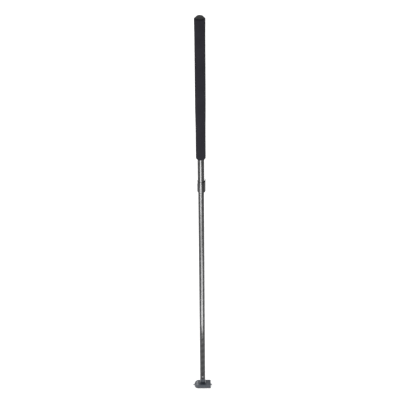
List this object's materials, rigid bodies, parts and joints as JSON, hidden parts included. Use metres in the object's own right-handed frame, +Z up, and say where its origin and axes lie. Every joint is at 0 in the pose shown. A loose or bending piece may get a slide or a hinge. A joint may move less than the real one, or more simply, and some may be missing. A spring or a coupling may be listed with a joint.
{
  "type": "door security bar",
  "caption": "Telescoping door brace: foam-covered upper tube with a flip-lock collar, slim lower tube, and a small pivoting foot with a rubber sole.",
  "frame": {"origin": "centre of the sole's underside, where the foot stands on the floor", "axes": "+Z up the bar to the top plug, X along the foot and its pivot pin, +Y towards the clamp's bolt ears, behind the tubes"},
  "size_m": [0.0624, 0.0333, 1.307],
  "materials": {
    "gunmetal_tube": "glossy dark gunmetal with a fine helical pattern",
    "foam": "matte closed-cell foam",
    "grey_plastic": "satin dark grey",
    "black_metal": "satin black coating",
    "nylon": "slick natural black nylon",
    "steel": "zinc-plated steel",
    "blue_grey_metal": "semi-gloss blue-grey coating",
    "sole_rubber": "matte grey rubber"
  },
  "bodies": {
    "upper_bar": {"outer_tube": "gunmetal_tube", "foam_grip": "foam", "top_plug": "grey_plastic", "clamp_body": "black_metal", "guide_bush_lower": "nylon", "clamp_bolt": "steel", "clamp_nut": "steel", "clamp_washer": "steel"},
    "lever": {"clamp_lever": "black_metal", "lever_pin": "steel"},
    "lower_bar": {"inner_tube": "gunmetal_tube", "guide_bush_upper": "nylon", "bush_rivet": "steel", "tube_ferrule": "blue_grey_metal", "ferrule_rivet_front": "steel", "ferrule_rivet_back": "steel"},
    "foot": {"foot_housing": "blue_grey_metal", "sole_pad": "sole_rubber", "pivot_pin": "steel", "pin_clip_left": "steel", "pin_clip_right": "steel", "sole_screw_1": "steel", "sole_screw_2": "steel", "sole_screw_3": "steel", "sole_screw_4": "steel"}
  },
  "joints": [
    {"name": "telescope", "type": "slide", "parent": "upper_bar", "child": "lower_bar", "axis": [0, 0, 1], "range_m": [0, 0.4]},
    {"name": "lever_swing", "type": "hinge", "parent": "upper_bar", "child": "lever", "pos_m": [0.0096, 0.0145, 0.793], "axis": [0, 0, 1], "range_deg": [0, 120]},
    {"name": "foot_tilt", "type": "hinge", "parent": "lower_bar", "child": "foot", "pos_m": [0, 0, 0.0055], "axis": [1, 0, 0], "range_deg": [-5, 50]}
  ]
}
